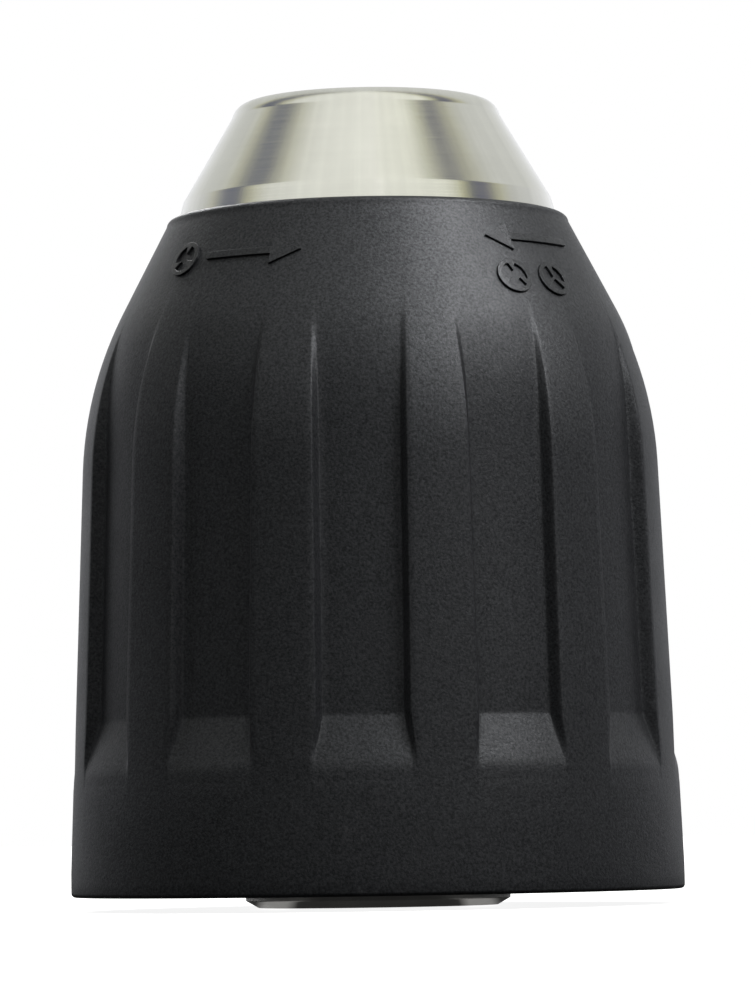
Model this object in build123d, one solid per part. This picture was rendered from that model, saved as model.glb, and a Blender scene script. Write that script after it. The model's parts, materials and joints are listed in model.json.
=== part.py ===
from build123d import *
from math import atan, cos, degrees, pi, radians, sin, sqrt, tan
import os

# Single-sleeve keyless drill chuck, 13 mm capacity, with a ratchet lock.
#
# Frame: millimetres, +Z along the chuck's axis towards the nose, origin at the centre of the tail face.
# Rest pose: jaws fully open and drawn back inside the nose, sleeve in its unlocked position.

# ---------------------------------------------------------------- driving dimensions
OVERALL_LENGTH = 58.0          # tail face to nose face
SLEEVE_RADIUS = 22.0           # at the skirt, the widest place
JAW_COUNT = 3
JAW_ANGLE = 15.0               # between a jaw's axis and the chuck's axis
JAW_RADIUS = 3.25
JAW_AXIS_AT_NOSE = 4.74        # from the chuck's axis to a jaw's axis, in the plane of the nose face
THREAD_PITCH = 1.6             # of the jaw thread, measured along the jaw
CLOSING_TURNS = 14             # sleeve turns from fully open to fully closed
CAPACITY = 13.0                # largest shank
LOCK_TURN = 16.0               # degrees the sleeve advances on the nut to lock
FIT_GAP = 0.01                 # between pieces that are pressed together
RUNNING_GAP = 0.05             # between pieces that turn or slide on each other

# ---------------------------------------------------------------- body
BOSS_RADIUS = 9.5              # the tail boss that shows below the sleeve
BOSS_CHAMFER_WIDTH = 0.9
BOSS_CHAMFER_HEIGHT = 0.5
BOSS_HEIGHT = 3.6
TAIL_RADIUS = 11.0
TAIL_TOP = 23.0
MID_RADIUS = 13.4              # shoulder that the thrust ring is pressed against
MID_BOTTOM = 27.0
SEAT_RADIUS = 12.5             # seat of the thrust ring
SEAT_TOP = 38.0
NUT_GROOVE_RADIUS = 10.0       # floor of the groove in which the split nut turns
NOSE_RADIUS = 12.0             # cylinder that carries the nose piece
NOSE_CYLINDER_TOP = 50.8
BODY_FRONT = 55.2              # front face of the body, inside the nose piece
BODY_FRONT_RADIUS = 9.28
TOOL_BORE_RADIUS = 6.6
TOOL_BORE_BOTTOM = 19.5
SCREW_HOLE_RADIUS = 3.3        # clears the M6 screw that holds the chuck on its spindle
SPINDLE_DEPTH = 16.5           # 1/2-20 UNF spindle socket
SPINDLE_MINOR_RADIUS = 5.72
SPINDLE_MAJOR_RADIUS = 6.35
SPINDLE_PITCH = 1.27
RELIEF_BOTTOM = 14.6           # thread relief at the inner end of the socket

# ---------------------------------------------------------------- thrust bearing, from the tail to the nose
THRUST_RING_BOTTOM = 31.5
THRUST_RING_TOP = 35.3
THRUST_RING_LIP_TOP = 36.2
THRUST_RING_RADIUS = 16.6
RACE_INNER_RADIUS = 14.4
RACE_TOP = 36.3
RATCHET_TEETH = 48
RATCHET_ROOT_RADIUS = 15.95
RATCHET_TIP_RADIUS = 16.3
BALL_RADIUS = 0.8
BALL_CENTRE_HEIGHT = 36.85
BALL_CIRCLE_RADIUS = 15.25
BALL_COUNT = 24
CAGE_INNER_RADIUS = 14.45
CAGE_OUTER_RADIUS = 16.1
CAGE_THICKNESS = 0.7
WASHER_INNER_RADIUS = 13.95
WASHER_OUTER_RADIUS = 16.6
WASHER_BOTTOM = 37.4
WASHER_TOP = 38.79

# ---------------------------------------------------------------- split nut and its band
NUT_BOTTOM = 38.8
NUT_FLANGE_TOP = 40.6
NUT_TOP = 45.0
NUT_FLANGE_RADIUS = 16.4
NUT_HUB_RADIUS = 14.0
NUT_BAND_RADIUS = 15.0
NUT_SPLIT = 0.15               # width of the break between the two halves
DRIVE_SLOT_RADIUS = 14.9       # floor of the two slots that the sleeve's dogs run in
DRIVE_SLOT_ANGLE = 42.0
DRIVE_DOG_ANGLE = 24.0
RIDGE_HEIGHT = 0.8             # how deep the nut's thread reaches below the jaw's outer line
RIDGE_BASE = 1.0               # its width at that line
RIDGE_CREST = 0.35
THREAD_CLEARANCE = 0.12        # on each flank
ROOT_CLEARANCE = 0.15

# ---------------------------------------------------------------- jaws
JAW_TIP_HEIGHT = 54.0
JAW_LENGTH = 37.3
JAW_PLAIN_TIP = 8.0            # length ahead of the first tooth
LAND_HALF_WIDTH = 0.5          # the narrow flat that bears on the shank
LAND_AT_REST = CAPACITY / 2 + RUNNING_GAP

# ---------------------------------------------------------------- lock spring
SPRING_INNER_RADIUS = 16.63
SPRING_THICKNESS = 0.3
SPRING_TOP = 38.7
SPRING_BAND_BOTTOM = 37.3
PAWL_BOTTOM = 35.5
PAWL_TOP = 37.0
PAWL_ARM_ANGLE = 45.0
SPRING_GAP_ANGLE = 40.0
BUMP_RADIUS = 17.10            # top of the detent bump that rides in the drive cup
TAB_RADIUS = 16.0

# ---------------------------------------------------------------- sleeve, drive cup and rear cover
SLEEVE_BOTTOM = 0.95
SLEEVE_TOP = 49.55
SKIRT_TOP = 2.5                # above this the sleeve tapers gently
DOME_START = 31.3
DOME_START_RADIUS = 20.85
DOME_ARC_RADIUS = 27.2
DOME_TAPER_START = 2.27        # degrees from the axis
DOME_TAPER_END = 27.5
FLUTE_COUNT = 12
FLUTE_FIRST_ANGLE = -92.2      # azimuth of the flute that faces the front
FLUTE_FLOOR_HALF_WIDTH = 2.95
FLUTE_WALL_DRAFT = 18.0
LIP_INNER_RADIUS = 13.8
LIP_BOTTOM = 45.4
SLEEVE_FRONT_BORE = 15.3
SLEEVE_REAR_BORE = 19.25
CUP_INNER_RADIUS = 17.15
CUP_OUTER_RADIUS = 17.75
CUP_BOTTOM = 33.0
CUP_TOP = 40.6
DOG_INNER_RADIUS = 15.1
DOG_BOTTOM = 39.0
DOG_TOP = 40.4
COVER_SEAT_RADIUS = 20.3
COVER_SEAT_TOP = 2.95
COVER_BOTTOM = 2.1
COVER_THICKNESS = 0.8
COVER_HOLE_RADIUS = 9.75
RING_GROOVE_RADIUS = 20.9
RING_BOTTOM = 1.45
RING_THICKNESS = 0.6

# ---------------------------------------------------------------- nose piece and seal
NOSE_PIECE_BOTTOM = 47.6
COLLAR_RADIUS = 13.7
COLLAR_TAPER_START = 49.4
COLLAR_TOP = 50.85
COLLAR_TOP_RADIUS = 13.3
NOSE_EDGE_HEIGHT = 56.95       # where the cone ends and the rounded front edge begins
NOSE_EDGE_RADIUS = 9.7
NOSE_FACE_RADIUS = 8.5
NOSE_OPENING_RADIUS = 7.7
NOSE_WALL = 1.3                # radial thickness of the cone
SEAL_BOTTOM = 45.7
SEAL_TOP = 47.4

SIN_JAW = sin(radians(JAW_ANGLE))
COS_JAW = cos(radians(JAW_ANGLE))
TAN_JAW = tan(radians(JAW_ANGLE))
JAW_TRAVEL = THREAD_PITCH * CLOSING_TURNS
LAND_CLOSED = LAND_AT_REST - JAW_TRAVEL * SIN_JAW


def jaw_axis_radius(z):
    """Distance from the chuck's axis to a jaw's axis at height z."""
    return JAW_AXIS_AT_NOSE + (OVERALL_LENGTH - z) * TAN_JAW


def jaw_outer_radius(z):
    """Distance from the chuck's axis to a jaw's outermost line at height z."""
    return jaw_axis_radius(z) + JAW_RADIUS / COS_JAW


def turned(*points):
    """A body of revolution from (radius, height) corners."""
    return revolve(Plane.XZ * make_face(Polyline(*points, close=True)), Axis.Z)


def ring(inner, outer, bottom, top, chamfer_size=0.0):
    """A plain ring, with its outer and inner edges broken if asked."""
    c = chamfer_size
    if not c:
        return turned((inner, bottom), (outer, bottom), (outer, top), (inner, top))
    return turned(
        (inner + c, bottom), (outer - c, bottom), (outer, bottom + c), (outer, top - c),
        (outer - c, top), (inner + c, top), (inner, top - c), (inner, bottom + c),
    )


def sector(inner, outer, bottom, top, centre_angle, width_angle):
    """A piece of a ring, width_angle degrees wide."""
    profile = Plane.XZ * make_face(
        Polyline((inner, bottom), (outer, bottom), (outer, top), (inner, top), close=True)
    )
    return Rot(0, 0, centre_angle - width_angle / 2) * revolve(profile, Axis.Z, width_angle)


def around(shape, count, first=0.0):
    """count copies of shape, evenly spaced around the chuck's axis."""
    return [Rot(0, 0, first + i * 360 / count) * shape for i in range(count)]


def jaw_plane(distance):
    """Across the first jaw's axis, distance in front of where it meets the nose plane. Local +X points outwards."""
    origin = (
        JAW_AXIS_AT_NOSE - distance * SIN_JAW,
        0,
        OVERALL_LENGTH + distance * COS_JAW,
    )
    return Plane(origin=origin, x_dir=(COS_JAW, 0, SIN_JAW), z_dir=(-SIN_JAW, 0, COS_JAW))


def along_jaw(radius, start, end):
    """A round bar on the first jaw's axis."""
    return jaw_plane(start) * extrude(Circle(radius), end - start)


def jaw_passages():
    """The three inclined holes that the jaws slide in."""
    passage = along_jaw(JAW_RADIUS + RUNNING_GAP, -50, 10)
    return around(passage, JAW_COUNT)


def spindle_thread_cutter():
    """The groove of the internal spindle thread, from below the tail face into the relief."""
    start = -1.5 * SPINDLE_PITCH
    end = RELIEF_BOTTOM + SPINDLE_PITCH / 2
    inside = SPINDLE_MINOR_RADIUS - 0.25
    flank = tan(radians(30))
    root_half = SPINDLE_PITCH / 16
    mouth_half = root_half + (SPINDLE_MAJOR_RADIUS - inside) * flank
    profile = Wire.make_polygon(
        [
            Vector(inside, 0, start - mouth_half),
            Vector(SPINDLE_MAJOR_RADIUS, 0, start - root_half),
            Vector(SPINDLE_MAJOR_RADIUS, 0, start + root_half),
            Vector(inside, 0, start + mouth_half),
        ],
        close=True,
    )
    helix = Edge.make_helix(SPINDLE_PITCH, end - start, SPINDLE_MAJOR_RADIUS, (0, 0, start))
    return Solid.sweep(Face(profile), helix, is_frenet=True)


def make_chuck_body():
    """Steel body: spindle socket, tool bore, three jaw passages and the groove that holds the nut."""
    mouth = 0.7
    web_chamfer = 0.6
    body = turned(
        (SPINDLE_MAJOR_RADIUS + 0.1, 0),
        (BOSS_RADIUS - BOSS_CHAMFER_WIDTH, 0),
        (BOSS_RADIUS, BOSS_CHAMFER_HEIGHT),
        (BOSS_RADIUS, BOSS_HEIGHT),
        (TAIL_RADIUS, BOSS_HEIGHT),
        (TAIL_RADIUS, TAIL_TOP),
        (MID_RADIUS, MID_BOTTOM),
        (MID_RADIUS, THRUST_RING_BOTTOM),
        (SEAT_RADIUS, THRUST_RING_BOTTOM),
        (SEAT_RADIUS, SEAT_TOP),
        (NUT_GROOVE_RADIUS, SEAT_TOP + 0.4),
        (NUT_GROOVE_RADIUS, NUT_TOP + 0.1),
        (NOSE_RADIUS, NUT_TOP + 0.1),
        (NOSE_RADIUS, NOSE_CYLINDER_TOP),
        (BODY_FRONT_RADIUS, BODY_FRONT),
        (TOOL_BORE_RADIUS + mouth, BODY_FRONT),
        (TOOL_BORE_RADIUS, BODY_FRONT - mouth),
        (TOOL_BORE_RADIUS, TOOL_BORE_BOTTOM),
        (SCREW_HOLE_RADIUS + web_chamfer, TOOL_BORE_BOTTOM),
        (SCREW_HOLE_RADIUS, TOOL_BORE_BOTTOM - web_chamfer),
        (SCREW_HOLE_RADIUS, SPINDLE_DEPTH),
        (SPINDLE_MAJOR_RADIUS + 0.1, SPINDLE_DEPTH),
        (SPINDLE_MAJOR_RADIUS + 0.1, RELIEF_BOTTOM + 0.3),
        (SPINDLE_MINOR_RADIUS, RELIEF_BOTTOM),
        (SPINDLE_MINOR_RADIUS, mouth),
    )
    return body - spindle_thread_cutter() - jaw_passages()


def make_nose_piece():
    """Turned steel cone and collar, pressed over the body's nose, with room for the jaws to come out."""
    front_chamfer = 0.3
    opening_bottom = BODY_FRONT + 0.1
    slope = (COLLAR_TOP_RADIUS - NOSE_EDGE_RADIUS) / (NOSE_EDGE_HEIGHT - COLLAR_TOP)
    outer_at_opening = NOSE_EDGE_RADIUS + slope * (NOSE_EDGE_HEIGHT - opening_bottom)
    below = Polyline(
        (NOSE_RADIUS + FIT_GAP, NOSE_PIECE_BOTTOM),
        (COLLAR_RADIUS - 0.2, NOSE_PIECE_BOTTOM),
        (COLLAR_RADIUS, NOSE_PIECE_BOTTOM + 0.2),
        (COLLAR_RADIUS, COLLAR_TAPER_START),
        (COLLAR_TOP_RADIUS, COLLAR_TOP),
        (NOSE_EDGE_RADIUS, NOSE_EDGE_HEIGHT),
    )
    edge_middle = (
        NOSE_FACE_RADIUS + 0.68 * (NOSE_EDGE_RADIUS - NOSE_FACE_RADIUS),
        NOSE_EDGE_HEIGHT + 0.66 * (OVERALL_LENGTH - NOSE_EDGE_HEIGHT),
    )
    rounded_edge = ThreePointArc(below @ 1, edge_middle, (NOSE_FACE_RADIUS, OVERALL_LENGTH))
    inside = Polyline(
        rounded_edge @ 1,
        (NOSE_OPENING_RADIUS + front_chamfer, OVERALL_LENGTH),
        (NOSE_OPENING_RADIUS, OVERALL_LENGTH - front_chamfer),
        (NOSE_OPENING_RADIUS, opening_bottom),
        (outer_at_opening - NOSE_WALL, opening_bottom),
        (NOSE_RADIUS + FIT_GAP, COLLAR_TOP),
        below @ 0,
    )
    piece = revolve(Plane.XZ * make_face(below + rounded_edge + inside), Axis.Z)
    return piece - jaw_passages()


def make_dust_seal():
    """Felt ring between the body's nose and the sleeve's lip."""
    return ring(NOSE_RADIUS + 0.02, COLLAR_RADIUS, SEAL_BOTTOM, SEAL_TOP, 0.25)


def make_thrust_ring():
    """Hardened ring pressed on the body. Its guideways let the jaws draw back through it."""
    block = turned(
        (SEAT_RADIUS + FIT_GAP, THRUST_RING_BOTTOM + FIT_GAP),
        (THRUST_RING_RADIUS - 0.3, THRUST_RING_BOTTOM + FIT_GAP),
        (THRUST_RING_RADIUS, THRUST_RING_BOTTOM + 0.3),
        (THRUST_RING_RADIUS, THRUST_RING_TOP),
        (RACE_INNER_RADIUS - RUNNING_GAP, THRUST_RING_TOP),
        (RACE_INNER_RADIUS - RUNNING_GAP, THRUST_RING_LIP_TOP),
        (SEAT_RADIUS + FIT_GAP, THRUST_RING_LIP_TOP),
    )
    return block - jaw_passages()


def ball_groove():
    """The channel that the bearing balls leave in each race."""
    return Pos(0, 0, BALL_CENTRE_HEIGHT) * Torus(BALL_CIRCLE_RADIUS, BALL_RADIUS + 0.02)


def make_ratchet_race():
    """Lower race of the thrust bearing, with saw teeth around its rim for the lock spring's pawls."""
    bottom = THRUST_RING_TOP + FIT_GAP
    blank = ring(RACE_INNER_RADIUS, RATCHET_TIP_RADIUS, bottom, RACE_TOP)
    step = 360 / RATCHET_TEETH
    tip = RATCHET_TIP_RADIUS + 0.2
    root = RATCHET_ROOT_RADIUS
    steep = step * 0.12
    gap = Polyline(
        (root * cos(radians(steep)), root * sin(radians(steep))),
        (tip, 0),
        (tip * cos(radians(step)), tip * sin(radians(step))),
        close=True,
    )
    tooth_gap = Pos(0, 0, bottom - 0.5) * extrude(make_face(gap), RACE_TOP - bottom + 1)
    return blank - ball_groove() - around(tooth_gap, RATCHET_TEETH)


def make_thrust_washer():
    """Upper race, under the nut's flange, notched for the lock spring's two tabs."""
    washer = ring(WASHER_INNER_RADIUS, WASHER_OUTER_RADIUS, WASHER_BOTTOM, WASHER_TOP)
    notch = sector(TAB_RADIUS - 0.1, WASHER_OUTER_RADIUS + 0.3, WASHER_BOTTOM - 0.2, WASHER_TOP + 0.2, 0, 5)
    notches = [Rot(0, 0, angle) * notch for angle in spring_tab_angles()]
    return washer - ball_groove() - notches


def make_bearing_balls():
    ball = Pos(BALL_CIRCLE_RADIUS, 0, BALL_CENTRE_HEIGHT) * Sphere(BALL_RADIUS)
    return around(ball, BALL_COUNT)


def make_ball_cage():
    """Pressed brass cage with a round pocket for each ball."""
    bottom = BALL_CENTRE_HEIGHT - CAGE_THICKNESS / 2
    top = BALL_CENTRE_HEIGHT + CAGE_THICKNESS / 2
    pocket = Pos(BALL_CIRCLE_RADIUS, 0, bottom - 0.5) * extrude(
        Circle(BALL_RADIUS + 0.04), CAGE_THICKNESS + 1
    )
    return ring(CAGE_INNER_RADIUS, CAGE_OUTER_RADIUS, bottom, top) - around(pocket, BALL_COUNT)


def nut_ridge():
    """The nut's conical thread: its crests stay parallel to the jaws and sit between their teeth."""
    first_groove = groove_distance(0)
    nut_bottom_distance = (NUT_BOTTOM - OVERALL_LENGTH) / COS_JAW
    pitches_below = round((first_groove - nut_bottom_distance) / THREAD_PITCH) + 2
    start = first_groove - pitches_below * THREAD_PITCH
    start_plane = jaw_plane(start)

    def corner(outwards, forwards):
        return start_plane.from_local_coords(Vector(JAW_RADIUS + outwards, 0, forwards))

    embed = 0.35
    flank = (RIDGE_BASE - RIDGE_CREST) / 2 / RIDGE_HEIGHT
    base_half = RIDGE_BASE / 2 + embed * flank
    profile = Wire.make_polygon(
        [
            corner(embed, -base_half),
            corner(-RIDGE_HEIGHT, -RIDGE_CREST / 2),
            corner(-RIDGE_HEIGHT, RIDGE_CREST / 2),
            corner(embed, base_half),
        ],
        close=True,
    )
    foot = corner(0, 0)
    helix = Edge.make_helix(
        THREAD_PITCH, NUT_TOP + 2 - foot.Z, foot.X, (0, 0, foot.Z), (0, 0, 1), -JAW_ANGLE
    )
    return Solid.sweep(Face(profile), helix, is_frenet=True)


def make_nut_halves():
    """Split nut: flange with two drive slots, hub for the band, and the conical thread that moves the jaws."""
    root_bottom = jaw_outer_radius(NUT_BOTTOM) + ROOT_CLEARANCE
    root_top = jaw_outer_radius(NUT_TOP) + ROOT_CLEARANCE
    blank = turned(
        (root_bottom, NUT_BOTTOM),
        (NUT_FLANGE_RADIUS, NUT_BOTTOM),
        (NUT_FLANGE_RADIUS, NUT_FLANGE_TOP),
        (NUT_HUB_RADIUS, NUT_FLANGE_TOP),
        (NUT_HUB_RADIUS, NUT_TOP - 0.3),
        (NUT_HUB_RADIUS - 0.3, NUT_TOP),
        (root_top, NUT_TOP),
    )
    envelope = turned(
        (5, NUT_BOTTOM),
        (root_bottom + 0.6, NUT_BOTTOM),
        (root_top + 0.6, NUT_TOP),
        (5, NUT_TOP),
    )
    slots = [
        sector(DRIVE_SLOT_RADIUS, NUT_FLANGE_RADIUS + 1, NUT_BOTTOM - 1, NUT_FLANGE_TOP + 1, side, DRIVE_SLOT_ANGLE)
        for side in (90, 270)
    ]
    nut = blank + (nut_ridge() & envelope) - slots
    height = NUT_TOP - NUT_BOTTOM + 2
    nut -= Pos(0, 0, (NUT_TOP + NUT_BOTTOM) / 2) * Box(60, NUT_SPLIT, height)
    return nut.solids().sort_by(Axis.Y)


def make_nut_band():
    """Steel band pressed over the nut's hub to hold its halves together."""
    return ring(NUT_HUB_RADIUS + FIT_GAP, NUT_BAND_RADIUS, NUT_FLANGE_TOP + 0.1, NUT_TOP - 0.1, 0.25)


def groove_distance(index):
    """Where the first jaw's groove number index is centred, along the jaw from the nose plane, at rest."""
    tip = (JAW_TIP_HEIGHT - OVERALL_LENGTH) / COS_JAW
    return tip - JAW_PLAIN_TIP - index * THREAD_PITCH


def jaw_tooth_groove():
    """One groove of a jaw's thread. It bends around the chuck's axis as the nut's thread does."""
    height = (NUT_BOTTOM + NUT_TOP) / 2
    distance = (height - OVERALL_LENGTH) / COS_JAW
    plane = jaw_plane(distance)
    deep = RIDGE_HEIGHT + ROOT_CLEARANCE
    flank = (RIDGE_BASE - RIDGE_CREST) / 2 / RIDGE_HEIGHT
    outside = 1.5

    def corner(outwards, side):
        half = RIDGE_BASE / 2 + THREAD_CLEARANCE + outwards * flank
        return plane.from_local_coords(Vector(JAW_RADIUS + outwards, 0, side * half))

    profile = Face(
        Wire.make_polygon(
            [corner(-deep, -1), corner(outside, -1), corner(outside, 1), corner(-deep, 1)],
            close=True,
        )
    )
    half_sweep = 30
    arc = revolve(Rot(0, 0, -half_sweep) * profile, Axis.Z, 2 * half_sweep)
    lead = degrees(atan(THREAD_PITCH * COS_JAW / (2 * pi * jaw_outer_radius(height))))
    pivot = plane.origin + plane.x_dir * JAW_RADIUS
    return Pos(*pivot) * Rot(lead, 0, 0) * Pos(*(-pivot)) * arc, distance


def make_jaw(number):
    """A jaw: round bar, gripping wedge parallel to the chuck's axis, and a thread on its outer side.

    The nut's thread meets the three jaws a third of a turn apart, so each jaw's grooves are shifted by that much.
    """
    tip_distance = (JAW_TIP_HEIGHT - OVERALL_LENGTH) / COS_JAW
    rear_distance = tip_distance - JAW_LENGTH
    bar = along_jaw(JAW_RADIUS, rear_distance, tip_distance + 3)
    bar = chamfer(bar.edges().sort_by(Axis.Z)[0], 0.5)
    reach = 14
    spread = reach * tan(radians(60))
    land = LAND_AT_REST
    wedge = Pos(0, 0, 10) * extrude(
        make_face(
            Polyline(
                (land, -LAND_HALF_WIDTH),
                (land + reach, -LAND_HALF_WIDTH - spread),
                (land + reach, LAND_HALF_WIDTH + spread),
                (land, LAND_HALF_WIDTH),
                close=True,
            )
        ),
        JAW_TIP_HEIGHT - 10,
    )
    jaw = bar & wedge
    tip_outer = jaw_outer_radius(JAW_TIP_HEIGHT)
    tip_bevel = turned(
        (tip_outer - 0.9, JAW_TIP_HEIGHT + 0.1),
        (tip_outer + 1.2, JAW_TIP_HEIGHT - 2.0),
        (tip_outer + 1.2, JAW_TIP_HEIGHT + 0.1),
    )
    serration = Pos(land, 0, JAW_TIP_HEIGHT - 15) * extrude(
        Rot(0, 0, 45) * Rectangle(0.3, 0.3), 20
    )
    groove, groove_home = jaw_tooth_groove()
    shift = number * THREAD_PITCH / JAW_COUNT
    grooves = []
    index = 0
    while groove_distance(index) + shift > rear_distance - THREAD_PITCH:
        move = groove_distance(index) + shift - groove_home
        grooves.append(Pos(-SIN_JAW * move, 0, COS_JAW * move) * groove)
        index += 1
    jaw = jaw - tip_bevel - serration - grooves
    return Rot(0, 0, number * 360 / JAW_COUNT) * jaw


def spring_tab_angles():
    """The two ends of the open band, where its tabs hook into the thrust washer."""
    half = SPRING_GAP_ANGLE / 2 + 4
    return (half, -half)


def make_lock_spring():
    """Open spring-steel band on the thrust washer, with two pawl arms that hang over the ratchet teeth."""
    inner = SPRING_INNER_RADIUS
    outer = inner + SPRING_THICKNESS
    spring = ring(inner, outer, PAWL_BOTTOM, SPRING_TOP)
    spring -= sector(inner - 1, outer + 1, PAWL_BOTTOM - 1, SPRING_TOP + 1, 0, SPRING_GAP_ANGLE)
    for root_angle in (110, 290):
        tip_angle = root_angle - PAWL_ARM_ANGLE
        free_angle = 180 - PAWL_ARM_ANGLE - 4
        free_centre = root_angle + 4 + free_angle / 2
        spring -= sector(inner - 1, outer + 1, PAWL_BOTTOM - 1, SPRING_BAND_BOTTOM, free_centre, free_angle)
        slit_angle = PAWL_ARM_ANGLE - 4
        slit_centre = tip_angle + slit_angle / 2 - 1
        spring -= sector(inner - 1, outer + 1, PAWL_TOP, SPRING_BAND_BOTTOM, slit_centre, slit_angle)
        pawl_depth = RATCHET_TIP_RADIUS + 0.06
        spring += sector(pawl_depth, inner + 0.15, PAWL_BOTTOM + 0.1, PAWL_BOTTOM + 0.7, tip_angle + 2, 3)
        spring += sector(outer - 0.15, BUMP_RADIUS, PAWL_BOTTOM + 0.2, PAWL_TOP - 0.2, tip_angle + 5, 5)
    for angle in spring_tab_angles():
        spring += sector(TAB_RADIUS, inner + 0.15, SPRING_BAND_BOTTOM + 0.3, SPRING_TOP - 0.2, angle, 4)
    return spring


def make_drive_cup():
    """Steel liner pressed into the sleeve. Its two dogs turn the nut, and its pockets hold the lock spring's bumps."""
    cup = ring(CUP_INNER_RADIUS, CUP_OUTER_RADIUS, CUP_BOTTOM, CUP_TOP)
    for side in (90, 270):
        at_rest = side + LOCK_TURN / 2
        cup += sector(DOG_INNER_RADIUS, CUP_INNER_RADIUS + 0.1, DOG_BOTTOM, DOG_TOP, at_rest, DRIVE_DOG_ANGLE)
    for root_angle in (110, 290):
        bump_angle = root_angle - PAWL_ARM_ANGLE + 5
        for pocket_angle in (bump_angle, bump_angle + LOCK_TURN):
            cup -= sector(CUP_INNER_RADIUS - 0.5, CUP_INNER_RADIUS + 0.3, PAWL_BOTTOM - 0.1, PAWL_TOP + 0.1, pocket_angle, 8)
    return cup


def flute_cutters():
    """Twelve flutes: a ramp at the foot, a long floor, and a run-out into the dome."""
    floor = Plane.XZ * make_face(
        Polyline(
            (22.37, 7.6), (20.62, 13.3), (20.0, 30.0), (19.85, 34.0), (19.72, 36.0), (19.52, 37.5),
            (19.28, 38.8), (18.9, 40.3), (18.4, 42.0), (18.1, 42.8), (26.0, 42.8), (26.0, 7.6), close=True,
        )
    )
    outside_floor = revolve(floor, Axis.Z)
    edge_radius = 20.3
    reach = 3.0
    widening = reach * tan(radians(FLUTE_WALL_DRAFT))
    half = FLUTE_FLOOR_HALF_WIDTH
    section = make_face(
        Polyline(
            (16.0, -half * 0.9), (edge_radius, -half), (edge_radius + reach, -half - widening),
            (edge_radius + reach, half + widening), (edge_radius, half), (16.0, half * 0.9), close=True,
        )
    )
    flute = extrude(section, 50) & outside_floor
    return around(flute, FLUTE_COUNT, FLUTE_FIRST_ANGLE)


def make_grip_sleeve():
    """Moulded nylon sleeve: skirt, gentle taper, dome and lip outside, stepped bore inside."""
    start = radians(DOME_TAPER_START)
    end = radians(DOME_TAPER_END)
    centre_r = DOME_START_RADIUS - DOME_ARC_RADIUS * cos(start)
    centre_z = DOME_START - DOME_ARC_RADIUS * sin(start)
    cone_start = (centre_r + DOME_ARC_RADIUS * cos(end), centre_z + DOME_ARC_RADIUS * sin(end))
    lip_round = 0.5
    cone_top = SLEEVE_TOP - lip_round
    lip_radius = cone_start[0] - (cone_top - cone_start[1]) * tan(end)
    foot_round = 0.3
    arc = CenterArc((centre_r, centre_z), DOME_ARC_RADIUS, DOME_TAPER_START, DOME_TAPER_END - DOME_TAPER_START)
    below = Polyline(
        (COVER_SEAT_RADIUS + foot_round, SLEEVE_BOTTOM),
        (SLEEVE_RADIUS - foot_round, SLEEVE_BOTTOM),
        (SLEEVE_RADIUS, SLEEVE_BOTTOM + foot_round),
        (SLEEVE_RADIUS, SKIRT_TOP),
        arc @ 0,
    )
    side = Line(arc @ 1, (lip_radius, cone_top))
    lip = ThreePointArc(
        side @ 1,
        (lip_radius - 0.34 * lip_round, SLEEVE_TOP - 0.26 * lip_round),
        (lip_radius - lip_round, SLEEVE_TOP),
    )
    inside = Polyline(
        lip @ 1,
        (LIP_INNER_RADIUS, SLEEVE_TOP),
        (LIP_INNER_RADIUS, LIP_BOTTOM),
        (SLEEVE_FRONT_BORE, LIP_BOTTOM),
        (SLEEVE_FRONT_BORE, CUP_TOP + 0.02),
        (CUP_OUTER_RADIUS + FIT_GAP, CUP_TOP + 0.02),
        (CUP_OUTER_RADIUS + FIT_GAP, CUP_BOTTOM - 0.4),
        (CUP_OUTER_RADIUS + 0.5, CUP_BOTTOM - 0.8),
        (CUP_OUTER_RADIUS + 0.5, 25.0),
        (SLEEVE_REAR_BORE, 19.5),
        (SLEEVE_REAR_BORE, COVER_SEAT_TOP),
        (COVER_SEAT_RADIUS, COVER_SEAT_TOP),
        (COVER_SEAT_RADIUS, RING_BOTTOM + RING_THICKNESS + 0.1),
        (RING_GROOVE_RADIUS, RING_BOTTOM + RING_THICKNESS + 0.1),
        (RING_GROOVE_RADIUS, RING_BOTTOM - 0.1),
        (COVER_SEAT_RADIUS, RING_BOTTOM - 0.1),
        (COVER_SEAT_RADIUS, SLEEVE_BOTTOM + foot_round),
        (COVER_SEAT_RADIUS + foot_round, SLEEVE_BOTTOM),
    )
    blank = revolve(Plane.XZ * make_face(below + arc + side + lip + inside), Axis.Z)
    return blank - flute_cutters()


def make_rear_cover():
    """Stamped steel cover that closes the sleeve behind the body's tail, with one stiffening bead."""
    bottom = COVER_BOTTOM
    top = COVER_BOTTOM + COVER_THICKNESS
    outer = COVER_SEAT_RADIUS - FIT_GAP
    bead = 0.45
    return turned(
        (COVER_HOLE_RADIUS, bottom),
        (13.0, bottom),
        (13.6, bottom + bead),
        (17.0, bottom + bead),
        (17.6, bottom),
        (outer, bottom),
        (outer, top),
        (17.4, top),
        (16.8, top + bead),
        (13.8, top + bead),
        (13.2, top),
        (COVER_HOLE_RADIUS, top),
    )


def make_retaining_ring():
    """Internal circlip in the sleeve's groove, with two holed ears."""
    outer = RING_GROOVE_RADIUS - 0.1
    inner = 19.0
    ear_inner = 17.2
    top = RING_BOTTOM + RING_THICKNESS
    gap = 16.0
    ear_angle = 10.0
    circlip = sector(inner, outer, RING_BOTTOM, top, 90, 360 - gap)
    for side in (-1, 1):
        ear_centre = 270 + side * (gap + ear_angle) / 2
        circlip += sector(ear_inner, inner + 0.3, RING_BOTTOM, top, ear_centre, ear_angle)
        hole = Rot(0, 0, ear_centre) * Pos((ear_inner + inner) / 2, 0, 0) * Cylinder(0.7, 10)
        circlip -= hole
    return circlip


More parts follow.
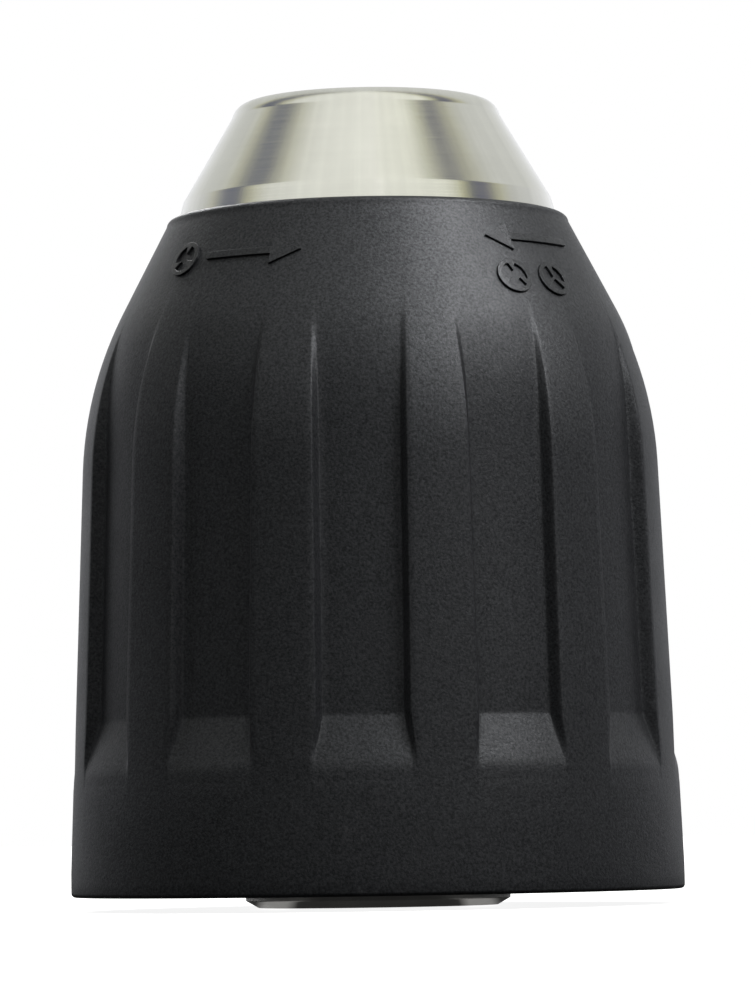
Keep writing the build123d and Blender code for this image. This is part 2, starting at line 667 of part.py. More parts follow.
def make_spring_washer():
    """Curved spring washer that takes up the play between the rear cover and the body's tail shoulder."""
    thickness = 0.25
    low = COVER_BOTTOM + COVER_THICKNESS + 0.04
    high = BOSS_HEIGHT - 0.04
    inner = BOSS_RADIUS + 0.15
    outer = TAIL_RADIUS - 0.15
    rise = high - low - thickness
    bend = (outer ** 2 + rise ** 2) / (2 * rise)
    lying = Rot(0, 90, 0) * Cylinder(bend, 60)
    hollow = Rot(0, 90, 0) * Cylinder(bend - thickness, 60)
    shell = Pos(0, 0, high - bend) * (lying - hollow)
    return shell & ring(inner, outer, low - 1, BOSS_HEIGHT)


def make_all():
    nut_half_a, nut_half_b = make_nut_halves()
    nodes = {
        "chuck_body": make_chuck_body(),
        "nose_piece": make_nose_piece(),
        "dust_seal": make_dust_seal(),
        "thrust_ring": make_thrust_ring(),
        "ratchet_race": make_ratchet_race(),
        "bearing_balls": make_bearing_balls(),
        "ball_cage": make_ball_cage(),
        "thrust_washer": make_thrust_washer(),
        "nut_half_a": nut_half_a,
        "nut_half_b": nut_half_b,
        "nut_band": make_nut_band(),
        "lock_spring": make_lock_spring(),
        "grip_sleeve": make_grip_sleeve(),
        "drive_cup": make_drive_cup(),
        "rear_cover": make_rear_cover(),
        "retaining_ring": make_retaining_ring(),
        "spring_washer": make_spring_washer(),
    }
    for number in range(JAW_COUNT):
        nodes[f"jaw_{number + 1}"] = make_jaw(number)
    return nodes


os.makedirs("parts", exist_ok=True)
for name, shape in make_all().items():
    if isinstance(shape, list):
        shape = Compound(children=shape)
    export_step(shape, f"parts/{name}.step")
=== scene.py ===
import json
import math

import bpy
from mathutils import Matrix, Vector


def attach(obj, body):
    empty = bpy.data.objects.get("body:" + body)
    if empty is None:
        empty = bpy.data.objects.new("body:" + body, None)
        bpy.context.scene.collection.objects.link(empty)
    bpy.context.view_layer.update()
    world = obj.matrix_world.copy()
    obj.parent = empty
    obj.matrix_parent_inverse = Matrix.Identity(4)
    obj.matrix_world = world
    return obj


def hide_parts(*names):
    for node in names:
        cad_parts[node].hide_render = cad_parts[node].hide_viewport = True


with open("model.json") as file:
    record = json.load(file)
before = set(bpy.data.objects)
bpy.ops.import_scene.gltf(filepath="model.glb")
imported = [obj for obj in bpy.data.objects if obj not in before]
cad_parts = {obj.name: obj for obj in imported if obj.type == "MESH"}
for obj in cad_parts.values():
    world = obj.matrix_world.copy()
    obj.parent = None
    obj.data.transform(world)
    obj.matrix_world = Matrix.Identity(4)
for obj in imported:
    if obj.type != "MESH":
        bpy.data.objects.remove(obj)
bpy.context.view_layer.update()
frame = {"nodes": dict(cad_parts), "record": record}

nodes = frame["nodes"]
MM = 0.001

# ---------------------------------------------------------------- sleeve shape, in millimetres
FLUTES = 12
FIRST_FLUTE = math.radians(-92.2)
FOOT_ROUND = 0.3
SLEEVE_BOTTOM = 0.95
SKIRT_RADIUS = 22.0
SKIRT_TOP = 2.5
DOME_START = (20.85, 31.3)
DOME_RADIUS = 27.2
DOME_ANGLES = (math.radians(2.27), math.radians(27.5))
LIP_TOP = 49.55
LIP_ROUND = 0.5
LIP_BORE = 13.8
LIP_FLAT = 0.18              # width of the flat between the rounding and the bore
FLOOR_LINE = [
    (7.6, 22.37), (13.3, 20.62), (30.0, 20.0), (34.0, 19.85), (36.0, 19.72), (37.5, 19.52), (38.8, 19.28),
    (40.3, 18.90), (42.0, 18.40), (60.0, 13.1),
]
RAMP_TOP = 13.3
RAMP_FOOT = 9.75
FLOOR_HALF = 2.95            # half width of a flute's floor
RAMP_HALF = 3.35             # at the foot of the ramp
WALL_WIDTH = 0.46
CREASE = 0.12                # softness where a floor runs out into the dome
FLUTE_FOOT = 8.6             # below this a flute has no depth
RAMP_BLEND = 0.6             # how far above the ramp a floor begins to widen
SMOOTH_ABOVE = 20            # height above which a floor's line is averaged, over SMOOTHING
SMOOTHING = (-1.0, -0.5, 0.0, 0.5, 1.0)
NO_FLUTE = -1.5              # a floor this far outside the dome leaves no flute
SHARP_ANGLE = math.radians(50)

# Mesh density, in steps: across a flute's floor, wall and rib, then up the side.
FLOOR_STEPS = 5
WALL_STEPS = 9
RIB_STEPS = 5
FOOT_STEPS = 5
SKIRT_STEPS = 10
DOME_STEPS = 14
LIP_STEPS = 7
# (from, to, steps) between skirt and dome: fine over the ramps and where the flutes run out.
SIDE_BANDS = [(FLUTE_FOOT, 14.4, 44), (14.4, 36, 24), (36, 44.5, 52)]
FLOOR_INSET = 0.1            # from a floor's edge to where the rounding at the foot of its wall begins
COLUMN_HEIGHTS = (1.0, 49.0)  # rows below the first and above the second take their columns from them
# (height, radius) down the inside, from the lip to the foot.
INSIDE = [
    (LIP_TOP - 0.12, LIP_BORE), (45.4, LIP_BORE), (45.4, 15.3), (40.62, 15.3), (40.62, 17.76), (32.6, 17.76),
    (32.2, 18.25), (25.0, 18.25), (19.5, 19.25), (2.95, 19.25), (2.95, 20.3), (2.15, 20.3), (2.15, 20.9),
    (1.35, 20.9), (1.35, 20.3), (1.15, 20.3), (SLEEVE_BOTTOM, 20.5),
]


def lerp_line(points, x):
    """The height at x of a line through points, and its last height beyond them."""
    for (x0, y0), (x1, y1) in zip(points, points[1:]):
        if x <= x1:
            return y0 + (y1 - y0) * (x - x0) / (x1 - x0)
    return points[-1][1]


def floor_radius(z):
    """A flute's floor: a sharp bend where the ramp meets it, and smooth above."""
    if z < SMOOTH_ABOVE:
        return lerp_line(FLOOR_LINE, z)
    return sum(lerp_line(FLOOR_LINE, z + d) for d in SMOOTHING) / len(SMOOTHING)


def smoothstep(t):
    t = min(1.0, max(0.0, t))
    return t * t * (3 - 2 * t)


def outer_radius(z):
    """The sleeve's outside, without its flutes."""
    start, end = DOME_ANGLES
    cr = DOME_START[0] - DOME_RADIUS * math.cos(start)
    cz = DOME_START[1] - DOME_RADIUS * math.sin(start)
    cone_z = cz + DOME_RADIUS * math.sin(end)
    if z <= SKIRT_TOP:
        return SKIRT_RADIUS
    if z <= DOME_START[1]:
        t = (z - SKIRT_TOP) / (DOME_START[1] - SKIRT_TOP)
        return SKIRT_RADIUS + (DOME_START[0] - SKIRT_RADIUS) * t
    if z <= cone_z:
        return cr + math.sqrt(DOME_RADIUS ** 2 - (z - cz) ** 2)
    return cr + DOME_RADIUS * math.cos(end) - (z - cone_z) * math.tan(end)


def floor_half(z):
    """Half the width of a flute's floor: wider towards the foot of the ramp."""
    top = RAMP_TOP + RAMP_BLEND
    t = smoothstep((top - z) / (top - RAMP_FOOT))
    return FLOOR_HALF + (RAMP_HALF - FLOOR_HALF) * t


def flute_depth(z):
    """How deep a flute is: it fades out softly where its floor meets the dome."""
    gap = outer_radius(z) - floor_radius(z)
    return 0.5 * (gap + math.sqrt(gap * gap + CREASE ** 2)) if gap > NO_FLUTE else 0.0


def across(z):
    """Columns over one flute and its two half ribs: (angle from the flute's middle, share of its depth)."""
    r = outer_radius(z)
    inset = floor_half(z) - FLOOR_INSET
    right = [(math.asin(inset * i / FLOOR_STEPS / r), 1.0) for i in range(FLOOR_STEPS + 1)]
    for i in range(1, WALL_STEPS + 1):
        t = i / WALL_STEPS
        right.append((math.asin((inset + WALL_WIDTH * t) / r), 1.0 - smoothstep(t)))
    last = right[-1][0]
    edge = math.pi / FLUTES
    right += [(last + (edge - last) * i / RIB_STEPS, 0.0) for i in range(1, RIB_STEPS)]
    left = [(-a, d) for a, d in reversed(right[1:])]
    return [(-edge, 0.0)] + left + right


def frange(a, b, n):
    """n even steps from a up to b, without b."""
    return [a + (b - a) * i / n for i in range(n)]


def sleeve_rows():
    """(height, radius, flute depth) from the foot up to the lip, then down the inside."""
    rows = []
    for i in range(FOOT_STEPS):
        a = math.pi / 2 * i / FOOT_STEPS
        z = SLEEVE_BOTTOM + FOOT_ROUND * (1 - math.cos(a))
        rows.append((z, SKIRT_RADIUS - FOOT_ROUND * (1 - math.sin(a)), 0))
    heights = frange(SLEEVE_BOTTOM + FOOT_ROUND, FLUTE_FOOT, SKIRT_STEPS)
    for low, high, steps in SIDE_BANDS:
        heights += frange(low, high, steps)
    heights += frange(SIDE_BANDS[-1][1], LIP_TOP - LIP_ROUND, DOME_STEPS)
    for z in heights:
        rows.append((z, outer_radius(z), flute_depth(z) if z > FLUTE_FOOT else 0))
    corner = outer_radius(LIP_TOP - LIP_ROUND)
    width = corner - LIP_BORE - LIP_FLAT
    for i in range(LIP_STEPS + 1):
        a = math.pi / 2 * i / LIP_STEPS
        rows.append((LIP_TOP - LIP_ROUND * (1 - math.sin(a)), corner - width * (1 - math.cos(a)), 0))
    rows += [(z, r, 0) for z, r in INSIDE]
    return rows


def polar(r, a, z):
    """A point in metres from a radius and a height in millimetres."""
    return Vector((r * math.cos(a) * MM, r * math.sin(a) * MM, z * MM))


def add_mesh(name, verts, faces, smooth=True):
    mesh = bpy.data.meshes.new(name)
    mesh.from_pydata([tuple(v) for v in verts], [], faces)
    mesh.validate()
    mesh.update()
    for p in mesh.polygons:
        p.use_smooth = smooth
    obj = bpy.data.objects.new(name, mesh)
    bpy.context.scene.collection.objects.link(obj)
    return obj


def make_sleeve():
    """One closed skin: every row is a ring of columns, and the last row joins the first."""
    verts, faces = [], []
    rows = sleeve_rows()
    for z, r, depth in rows:
        columns = across(min(max(z, COLUMN_HEIGHTS[0]), COLUMN_HEIGHTS[1]))
        for k in range(FLUTES):
            middle = FIRST_FLUTE + k * 2 * math.pi / FLUTES
            verts += [polar(r - depth * share, middle + a, z) for a, share in columns]
    count = len(verts) // len(rows)
    for i in range(len(rows)):
        here, above = i * count, (i + 1) % len(rows) * count
        for j in range(count):
            k = (j + 1) % count
            faces.append((here + j, here + k, above + k, above + j))
    obj = add_mesh("sleeve_shell", verts, faces)
    obj.data.set_sharp_from_angle(angle=SHARP_ANGLE)
    return obj


# ---------------------------------------------------------------- moulded marks: plain arrows and jaw symbols
MARK_RISE = 0.18
MARK_SINK = 0.15
STROKE = 0.27                # half of a stroke's width
ARROW_STEPS = 10
HEAD_LENGTH = 2.2
HEAD_HALF = 1.1
RING_STEPS = 24
RING_INNER = 1.02
RING_OUTER = 1.35
JAWS_OPEN = 0.4              # how far a symbol's wedges stop short of its middle
JAWS_CLOSED = 0.12
# Where the two groups sit: (azimuth, height). The marks are laid out in mm round and up from there.
LEFT = (math.radians(-125.5), 45.7)
RIGHT = (math.radians(-43), 45.1)


def on_dome(u, v, azimuth, z0, lift):
    """A point u mm round the sleeve and v mm up its side from (azimuth, z0), lift mm proud of it."""
    half = 0.5  # the dome's lean is taken over 1 mm
    slope = math.atan(outer_radius(z0 - half) - outer_radius(z0 + half))
    z = z0 + v * math.cos(slope)
    r = outer_radius(z)
    a = azimuth + u / outer_radius(z0)
    return polar(r + lift * math.cos(slope), a, z + lift * math.sin(slope))


def arrow(u0, u1, v):
    """A straight arrow with a solid head at u1, as polygons that share their corners."""
    way = 1 if u1 > u0 else -1
    neck = u1 - way * HEAD_LENGTH
    stations = [u0 + (neck - u0) * i / ARROW_STEPS for i in range(ARROW_STEPS + 1)]
    low, high = v - STROKE, v + STROKE
    polygons = [[(a, low), (b, low), (b, high), (a, high)] for a, b in zip(stations, stations[1:])]
    polygons.append([(neck, low), (neck, v - HEAD_HALF), (u1, v), (neck, v + HEAD_HALF), (neck, high)])
    return polygons if way > 0 else [polygon[::-1] for polygon in polygons]


def jaw_symbol(u, v, opening):
    """A ring with three wedges that point at its middle and stop short of it by opening."""
    def at(radius, step):
        a = math.pi / 2 + 2 * math.pi * step / RING_STEPS
        return (u + radius * math.cos(a), v + radius * math.sin(a))

    inner = [at(RING_INNER, i) for i in range(RING_STEPS)]
    outer = [at(RING_OUTER, i) for i in range(RING_STEPS)]
    polygons = []
    for i in range(RING_STEPS):
        j = (i + 1) % RING_STEPS
        polygons.append([inner[i], outer[i], outer[j], inner[j]])
    for middle in range(0, RING_STEPS, RING_STEPS // 3):
        polygons.append([at(opening, middle)] + [inner[(middle + i) % RING_STEPS] for i in (-1, 0, 1)])
    return polygons


def make_marks():
    """Each mark is one closed plate: its polygons on top and underneath, and a wall along its open edges."""
    verts, faces = [], []
    marks = [
        (LEFT, arrow(-2.2, 5.4, 0)), (LEFT, jaw_symbol(-4.6, 0, JAWS_OPEN)),
        (RIGHT, arrow(4.0, -4.6, 1.8)),
        (RIGHT, jaw_symbol(-3.2, -1.5, JAWS_OPEN)), (RIGHT, jaw_symbol(0.4, -1.5, JAWS_CLOSED)),
    ]
    marks += [((azimuth + math.pi, z0), polygons) for (azimuth, z0), polygons in marks]
    for (azimuth, z0), polygons in marks:
        points = list(dict.fromkeys(point for polygon in polygons for point in polygon))
        at, count = len(verts), len(points)
        for lift in (MARK_RISE, -MARK_SINK):
            verts += [on_dome(u, v, azimuth, z0, lift) for u, v in points]
        tops = [[at + points.index(point) for point in polygon] for polygon in polygons]
        edges = {(a, b) for top in tops for a, b in zip(top, top[1:] + top[:1])}
        faces += tops
        faces += [[i + count for i in reversed(top)] for top in tops]
        faces += [(b, a, a + count, b + count) for a, b in sorted(edges) if (b, a) not in edges]
    return add_mesh("sleeve_marks", verts, faces, smooth=False)


# ---------------------------------------------------------------- materials
# Noise scales, per metre of the part.
STEEL_STAINS = 160
STEEL_GRAIN = 5200
TURNING_FINE = 7000
TURNING_WIDE = 900
NYLON_FINE = 5400
NYLON_COARSE = 1500
NYLON_SMUDGES = 90
NYLON_RUB = 1900
NYLON_DUST = 210
FELT_FIBRES = 2600
FLOOR_CLOUDS = 30
PAINTED_STREAKS_AROUND = 11            # painted reflection streaks up the steel, on the direction from the axis, so it has no unit

# Where most of a noise's values lie, and those of the nylon's fine grain.
MOST = (0.3, 0.7)
GRAIN = (0.36, 0.64)

# The black nylon's tones, and its two scuffs as (place, reach) in metres.
GRAIN_LOW = (0.0035, 0.0037, 0.0043)
GRAIN_HIGH = (0.0150, 0.0156, 0.0172)
SMUDGE_TONE = (0.020, 0.020, 0.0215)
SCUFF_TONE = (0.060, 0.060, 0.062)
DUST_TONE = (0.30, 0.30, 0.31)
NYLON_TINT = (0.93, 0.95, 1.0, 1.0)
SCUFFS = [
    ((-0.0017, -0.0219, 0.0055), (0.0011, 0.004, 0.0026)),
    ((-0.0008, -0.0219, 0.0013), (0.0019, 0.004, 0.0007)),
]
SKIRT_PAINTED_SHADE = (0.0045, 0.0074)  # painted shade: the skirt's gloss is weaker below the first height, and full above the second
DUST_RARITY = 0.80
DUST_SIZE = 0.021            # in cells

# Depths of relief, in metres, and how finely rounded edges are sampled.
STEEL_RELIEF = 0.000004
NYLON_RELIEF = 0.00003
FELT_RELIEF = 0.0002
EDGE_SAMPLES = 4


def new_material(name):
    """A material, its node tree and its Principled node."""
    mat = bpy.data.materials.new(name)
    mat.use_nodes = True
    tree = mat.node_tree
    return mat, tree, tree.nodes["Principled BSDF"]


def fill(tree, target, inputs):
    """Fill a node's inputs, by name or number: a socket is linked, and anything else is set."""
    for key, value in inputs.items():
        if isinstance(value, bpy.types.NodeSocket):
            tree.links.new(value, target.inputs[key])
        else:
            target.inputs[key].default_value = value


def node(tree, kind, inputs):
    """A new node with its inputs filled."""
    made = tree.nodes.new(kind)
    fill(tree, made, inputs)
    return made


def math_node(tree, operation, *values, kind="ShaderNodeMath", output=0):
    """An operation on sockets and numbers, in their order."""
    made = tree.nodes.new(kind)
    made.operation = operation
    fill(tree, made, dict(enumerate(values)))
    return made.outputs[output]


def vector_node(tree, operation, *values, output="Vector"):
    return math_node(tree, operation, *values, kind="ShaderNodeVectorMath", output=output)


def separate(tree, vector):
    return node(tree, "ShaderNodeSeparateXYZ", {0: vector}).outputs


def mix_colour(tree, factor, a, b, blend="MIX"):
    """a and b are sockets or (red, green, blue)."""
    made = tree.nodes.new("ShaderNodeMix")
    made.data_type = "RGBA"
    made.blend_type = blend
    a, b = ((*value, 1.0) if isinstance(value, tuple) else value for value in (a, b))
    fill(tree, made, {"Factor": factor, "A": a, "B": b})
    return made.outputs["Result"]


def mix_shader(tree, factor, a, b):
    return node(tree, "ShaderNodeMixShader", {0: factor, 1: a, 2: b}).outputs[0]


def by_camera(tree, seen, unseen):
    """One shader for what the camera sees directly, and another for light and reflections."""
    path = tree.nodes.new("ShaderNodeLightPath")
    return mix_shader(tree, path.outputs["Is Camera Ray"], unseen, seen)


def object_coords(tree):
    return tree.nodes.new("ShaderNodeTexCoord").outputs["Object"]


def noise(tree, coords, scale, detail, roughness=0.5):
    inputs = {"Vector": coords, "Scale": scale, "Detail": detail, "Roughness": roughness}
    return node(tree, "ShaderNodeTexNoise", inputs).outputs["Fac"]


def spread(tree, value, source, target):
    """Map one range of a value onto another, held at both ends."""
    (low, high), (to_low, to_high) = source, target
    inputs = {"Value": value, "From Min": low, "From Max": high, "To Min": to_low, "To Max": to_high}
    return node(tree, "ShaderNodeMapRange", inputs).outputs["Result"]


def lathe_coords(tree):
    """(distance from the axis, 0, height): noise on these runs round the part, like turning marks."""
    x, y, z = separate(tree, object_coords(tree))
    squares = math_node(tree, "ADD", math_node(tree, "MULTIPLY", x, x), math_node(tree, "MULTIPLY", y, y))
    return node(tree, "ShaderNodeCombineXYZ", {0: math_node(tree, "SQRT", squares), 2: z}).outputs[0]


def bump(tree, bsdf, height, distance, strength, under=None):
    """Relief, laid over the normal under where one is given."""
    made = node(tree, "ShaderNodeBump", {"Strength": strength, "Distance": distance, "Height": height})
    if under is not None:
        fill(tree, made, {"Normal": under})
    fill(tree, bsdf, {"Normal": made.outputs["Normal"]})


def rounded_edges(tree, radius):
    made = node(tree, "ShaderNodeBevel", {"Radius": radius * MM})
    made.samples = EDGE_SAMPLES
    return made.outputs["Normal"]


def steel(name, colour, roughness, turned=0.0, stain=0.3, anisotropy=0.0, edge=0.12):
    """Machined steel: turning marks if turned, with painted reflection streaks up its sides, fine grain,
    slight stains and soft edges.
    """
    mat, tree, bsdf = new_material(name)
    coords = object_coords(tree)
    blotch = noise(tree, coords, STEEL_STAINS, 4, 0.6)
    relief = noise(tree, coords, STEEL_GRAIN, 2, 0.6)
    stained = tuple(c * (1 - stain) for c in colour)
    tone = mix_colour(tree, spread(tree, blotch, (0.35, 0.75), (0, 1)), colour, stained)
    rough = spread(tree, blotch, MOST, (roughness * 0.85, roughness * 1.2))
    if turned:
        lines = noise(tree, lathe_coords(tree), TURNING_FINE, 3, 0.7)
        wide = noise(tree, lathe_coords(tree), TURNING_WIDE, 2)
        direction = vector_node(tree, "NORMALIZE", vector_node(tree, "MULTIPLY", coords, (1, 1, 0)))
        shade = spread(tree, wide, MOST, (0.975, 1.02))
        # painted reflection: a noise round the axis lightens and darkens the steel's colour in streaks up its
        # sides
        sheen = spread(tree, noise(tree, direction, PAINTED_STREAKS_AROUND, 3, 0.6), MOST, (0.955, 1.03))
        relief = math_node(tree, "ADD", math_node(tree, "MULTIPLY", lines, turned), relief)
        tone = mix_colour(tree, 1.0, tone, math_node(tree, "MULTIPLY", shade, sheen), "MULTIPLY")
        rough = math_node(tree, "ADD", rough, spread(tree, lines, MOST, (-0.03, 0.04)))
    fill(tree, bsdf, {"Base Color": tone, "Roughness": rough, "Metallic": 1.0})
    if anisotropy:
        tangent = tree.nodes.new("ShaderNodeTangent")
        tangent.direction_type = "RADIAL"
        tangent.axis = "Z"
        fill(tree, bsdf, {
            "Tangent": tangent.outputs[0],
            "Anisotropic": anisotropy,
            "Anisotropic Rotation": 0.25,
        })
    bump(tree, bsdf, relief, STEEL_RELIEF, 0.6, rounded_edges(tree, edge) if edge else None)
    return mat


def near_spot(tree, coords, place, reach):
    """1 at a point of the object and 0 beyond reach, both in metres and per axis."""
    away = vector_node(tree, "DIVIDE", vector_node(tree, "SUBTRACT", coords, place), reach)
    return spread(tree, vector_node(tree, "LENGTH", away, output="Value"), (0.35, 1.0), (1.0, 0.0))


def dust(tree, coords):
    """1 on a small speck in a few of the cells, and 0 elsewhere."""
    cells = node(tree, "ShaderNodeTexVoronoi", {"Vector": coords, "Scale": NYLON_DUST})
    chosen = math_node(tree, "GREATER_THAN", cells.outputs["Color"], DUST_RARITY)
    near = math_node(tree, "LESS_THAN", cells.outputs["Distance"], DUST_SIZE)
    return math_node(tree, "MULTIPLY", chosen, near)


def nylon(name, polish=0.0):
    """Black glass-filled nylon: spark-eroded grain, faint smudges, two scuffs and a few specks of dust, with
    painted shade that weakens the gloss towards the skirt's foot.
    polish makes it glossier and smooths its grain."""
    mat, tree, bsdf = new_material(name)
    coords = object_coords(tree)
    fine = noise(tree, coords, NYLON_FINE, 4, 0.72)
    coarse = noise(tree, coords, NYLON_COARSE, 2, 0.6)
    smudge = noise(tree, coords, NYLON_SMUDGES, 3, 0.55)
    tone = mix_colour(tree, spread(tree, fine, GRAIN, (0, 1)), GRAIN_LOW, GRAIN_HIGH)
    tone = mix_colour(tree, spread(tree, smudge, (0.52, 0.78), (0, 0.35)), tone, SMUDGE_TONE)
    rub = math_node(tree, "ADD", *(near_spot(tree, coords, place, reach) for place, reach in SCUFFS))
    patchy = spread(tree, noise(tree, coords, NYLON_RUB, 4, 0.8), (0.5, 0.75), (0.0, 0.5))
    tone = mix_colour(tree, math_node(tree, "MULTIPLY", rub, patchy), tone, SCUFF_TONE)
    tone = mix_colour(tree, dust(tree, coords), tone, DUST_TONE)
    sheen = spread(tree, fine, GRAIN, (0.26, 0.45))
    # painted shade: a weaker gloss towards the foot darkens the skirt
    skirt = spread(tree, separate(tree, coords)[2], SKIRT_PAINTED_SHADE, (0.80, 1.0))
    fill(tree, bsdf, {
        "Base Color": tone,
        "Roughness": spread(tree, smudge, MOST, (0.52 - polish, 0.44 - polish)),
        "Specular IOR Level": math_node(tree, "MULTIPLY", sheen, skirt),
        "Specular Tint": NYLON_TINT,
    })
    relief = math_node(tree, "ADD", fine, math_node(tree, "MULTIPLY", coarse, 0.6))
    under = rounded_edges(tree, 0.06) if polish else None
    bump(tree, bsdf, relief, NYLON_RELIEF, 0.85 * (1 - 2 * polish), under)
    return mat


def felt():
    """Dark pressed felt, rough all over."""
    mat, tree, bsdf = new_material("felt")
    fibres = noise(tree, object_coords(tree), FELT_FIBRES, 5, 0.8)
    tone = mix_colour(tree, fibres, (0.03, 0.03, 0.03), (0.12, 0.115, 0.11))
    fill(tree, bsdf, {"Base Color": tone, "Roughness": 0.95})
    bump(tree, bsdf, fibres, FELT_RELIEF, 0.8)
    return mat


FINISHES = {
    "nose_steel": steel(
        "nose_steel", (0.84, 0.835, 0.775), 0.20, turned=1.0, stain=0.05, anisotropy=0.6, edge=0.10
    ),
    "body_steel": steel("body_steel", (0.60, 0.59, 0.56), 0.30, turned=1.0, stain=0.25, anisotropy=0.4),
    "hardened_steel": steel("hardened_steel", (0.50, 0.50, 0.52), 0.26, turned=0.6, stain=0.2),
    "ball_steel": steel("ball_steel", (0.80, 0.80, 0.82), 0.08, stain=0.05, edge=0),
    "brass": steel("brass", (0.78, 0.58, 0.26), 0.30, turned=0.3, stain=0.2),
    "nut_steel": steel("nut_steel", (0.46, 0.46, 0.47), 0.34, turned=0.8),
    "zinc_steel": steel("zinc_steel", (0.62, 0.63, 0.66), 0.36, turned=0.3, stain=0.18),
    "spring_steel": steel("spring_steel", (0.30, 0.32, 0.38), 0.30),
    "jaw_steel": steel("jaw_steel", (0.30, 0.30, 0.31), 0.33, stain=0.35),
    "felt": felt(),
    "black_nylon": nylon("black_nylon"),
    "polished_nylon": nylon("polished_nylon", polish=0.14),
}


def dress(obj, slot):
    obj.data.materials.clear()
    obj.data.materials.append(FINISHES[slot])


for part in frame["record"]["subparts"]:
    dress(nodes[part["node"]], part["material_slot"])

sleeve = make_sleeve()
dress(sleeve, "black_nylon")
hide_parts("grip_sleeve")
marks = make_marks()
dress(marks, "polished_nylon")
for piece in (sleeve, marks):
    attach(piece, "grip_sleeve")

# ---------------------------------------------------------------- floor, light and camera, in metres
FLOOR_REACH = 3
FLOOR_DROP = 0.0001          # keeps the floor clear of the chuck's tail face
FLOOR_SEEN = 0.88
FLOOR_GLOW = 0.035
# Two small bright cards lie on the floor's dark face, one at each side of the boss. Each pair of distances
# from the axis is where a card fades in or out: its inner and outer side, and its two ends.
CARD_INNER = (0.0058, 0.0066)
CARD_OUTER = (0.0082, 0.0090)
CARD_END = (0.0080, 0.0100)
CARD_GLOW = 0.31

# The studio's walls, as (share of a turn, colour): 0 and 1 are behind the chuck, 0.25 is to its left as seen
# from the camera, 0.5 is the camera's side. The two dark stretches are upright panels.
WALLS = [
    (0.00, (0.68, 0.69, 0.68)), (0.150, (0.60, 0.61, 0.60)), (0.172, (0.56, 0.55, 0.40)),
    (0.197, (0.13, 0.14, 0.19)), (0.238, (0.14, 0.15, 0.21)), (0.264, (0.54, 0.53, 0.38)),
    (0.300, (0.82, 0.83, 0.80)), (0.510, (0.90, 0.91, 0.87)), (0.522, (1.00, 1.00, 0.98)),
    (0.534, (0.90, 0.91, 0.86)), (0.665, (0.90, 0.91, 0.84)), (0.690, (0.52, 0.51, 0.30)),
    (0.709, (0.13, 0.14, 0.20)), (0.740, (0.15, 0.15, 0.22)), (0.766, (0.50, 0.49, 0.33)),
    (0.800, (0.62, 0.63, 0.62)), (1.00, (0.68, 0.69, 0.68)),
]
LOW_FRONT = (0.026, 0.026, 0.028)
LOW_BACK = (0.92, 0.93, 0.97)
BACKWARD = (-0.3, 0.9)       # directions over which the low part turns from front to back
UPWARD = (0.20, 0.47)        # and over which it gives way to the walls

LIGHTS_AIM = Vector((0, 0, 0.03))
FOCAL_LENGTH = 186.0
SENSOR_WIDTH = 36.0
CAMERA_PLACE = Vector((0.0004, -0.372, 0.0052))
CAMERA_AIM = 0.0292          # the height on the chuck's axis at which the camera looks
LEAN = math.radians(-0.92)


def pale_floor():
    """Near white to the camera. Dark to everything else, apart from the two cards, so that little light comes
    up from it. Clear from below."""
    mat, tree, bsdf = new_material("pale_floor")
    coords = object_coords(tree)
    tone = mix_colour(tree, noise(tree, coords, FLOOR_CLOUDS, 2), (0.84, 0.84, 0.84), (0.88, 0.88, 0.88))
    fill(tree, bsdf, {"Base Color": tone, "Roughness": 0.9, "Specular IOR Level": 0.0})
    glow = node(tree, "ShaderNodeEmission", {"Strength": FLOOR_SEEN})
    seen = node(tree, "ShaderNodeAddShader", {0: bsdf.outputs[0], 1: glow.outputs[0]})
    aside, along = (math_node(tree, "ABSOLUTE", distance) for distance in separate(tree, coords)[:2])
    inner = spread(tree, aside, CARD_INNER, (0.0, 1.0))
    outer = spread(tree, aside, CARD_OUTER, (1.0, 0.0))
    ends = spread(tree, along, CARD_END, (1.0, 0.0))
    cards = math_node(tree, "MULTIPLY", math_node(tree, "MULTIPLY", inner, outer), ends)
    strength = math_node(tree, "ADD", math_node(tree, "MULTIPLY", cards, CARD_GLOW), FLOOR_GLOW)
    unseen = node(tree, "ShaderNodeEmission", {"Strength": strength})
    above = by_camera(tree, seen.outputs[0], unseen.outputs[0])
    from_below = tree.nodes.new("ShaderNodeNewGeometry").outputs["Backfacing"]
    clear = tree.nodes.new("ShaderNodeBsdfTransparent").outputs[0]
    fill(tree, tree.nodes["Material Output"], {"Surface": mix_shader(tree, from_below, above, clear)})
    return mat


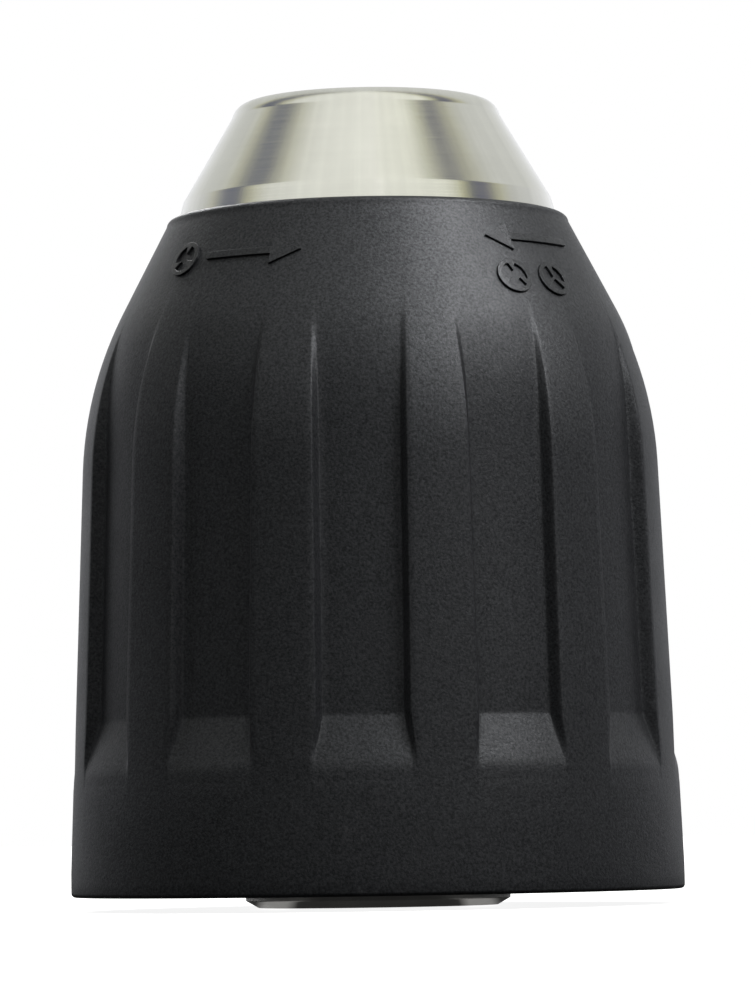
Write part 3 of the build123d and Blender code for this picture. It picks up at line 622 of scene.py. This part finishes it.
def studio_world():
    """White to the camera. To everything else, a soft studio: bright walls that meet overhead, and below
    them dark in front and bright behind. Each dark panel draws a streak down the steel nose."""
    world = bpy.data.worlds.new("studio")
    bpy.context.scene.world = world
    world.use_nodes = True
    tree = world.node_tree
    tree.nodes.clear()
    x, y, z = separate(tree, tree.nodes.new("ShaderNodeTexCoord").outputs["Generated"])
    turn = math_node(tree, "ARCTAN2", x, math_node(tree, "MULTIPLY", y, -1.0))
    turn = math_node(tree, "ADD", math_node(tree, "DIVIDE", turn, 2 * math.pi), 0.5)
    ramp = node(tree, "ShaderNodeValToRGB", {0: turn})
    elements = ramp.color_ramp.elements
    while len(elements) < len(WALLS):
        elements.new(0.5)
    for element, (place, colour) in zip(elements, WALLS):
        element.position = place
        element.color = (*colour, 1)
    low = mix_colour(tree, spread(tree, y, BACKWARD, (0.0, 1.0)), LOW_FRONT, LOW_BACK)
    light = mix_colour(tree, spread(tree, z, UPWARD, (0.0, 1.0)), low, ramp.outputs[0])
    seen = node(tree, "ShaderNodeBackground", {"Color": (1, 1, 1, 1), "Strength": 1.0})
    unseen = node(tree, "ShaderNodeBackground", {"Color": light, "Strength": 1.0})
    node(tree, "ShaderNodeOutputWorld", {0: by_camera(tree, seen.outputs[0], unseen.outputs[0])})


def softbox(name, place, size, watts, glossy=True, only=()):
    """A square light aimed at the object. only: the pieces it lights, or all of them."""
    data = bpy.data.lights.new(name, "AREA")
    data.size = size
    data.energy = watts
    obj = bpy.data.objects.new(name, data)
    obj.location = place
    obj.rotation_euler = (LIGHTS_AIM - Vector(place)).to_track_quat("-Z", "Y").to_euler()
    obj.visible_glossy = glossy
    obj.visible_camera = False
    bpy.context.scene.collection.objects.link(obj)
    if only:
        lit = bpy.data.collections.new(name + "_lights")
        for piece in only:
            lit.objects.link(piece)
        obj.light_linking.receiver_collection = lit


def make_floor():
    corners = [(-FLOOR_REACH, -FLOOR_REACH, 0), (FLOOR_REACH, -FLOOR_REACH, 0)]
    corners += [(-x, -y, 0) for x, y, _ in corners]
    obj = add_mesh("floor", corners, [(0, 1, 2, 3)], smooth=False)
    obj.location.z = -FLOOR_DROP
    obj.data.materials.append(pale_floor())


def make_camera():
    """At the photo's angle: low in front, tilted up at the chuck and leaning a little."""
    data = bpy.data.cameras.new("camera")
    data.lens = FOCAL_LENGTH
    data.sensor_width = SENSOR_WIDTH
    data.clip_start = 0.01
    camera = bpy.data.objects.new("camera", data)
    tilt = math.atan((CAMERA_AIM - CAMERA_PLACE.z) / -CAMERA_PLACE.y)
    camera.matrix_world = (
        Matrix.Translation(CAMERA_PLACE)
        @ Matrix.Rotation(math.pi / 2 + tilt, 4, "X")
        @ Matrix.Rotation(LEAN, 4, "Z")
    )
    bpy.context.scene.collection.objects.link(camera)
    bpy.context.scene.camera = camera


make_floor()
studio_world()
softbox("key", (0.142, -0.094, 0.215), size=0.10, watts=0.76, only=(sleeve, marks))
softbox("back_key", (-0.04, 0.17, 0.20), size=0.10, watts=0.5, only=(sleeve, marks))
softbox("floor_fill", (0.0, -0.30, 0.80), size=1.2, watts=6.0, glossy=False)
make_camera()
bpy.context.scene.view_settings.view_transform = "Standard"
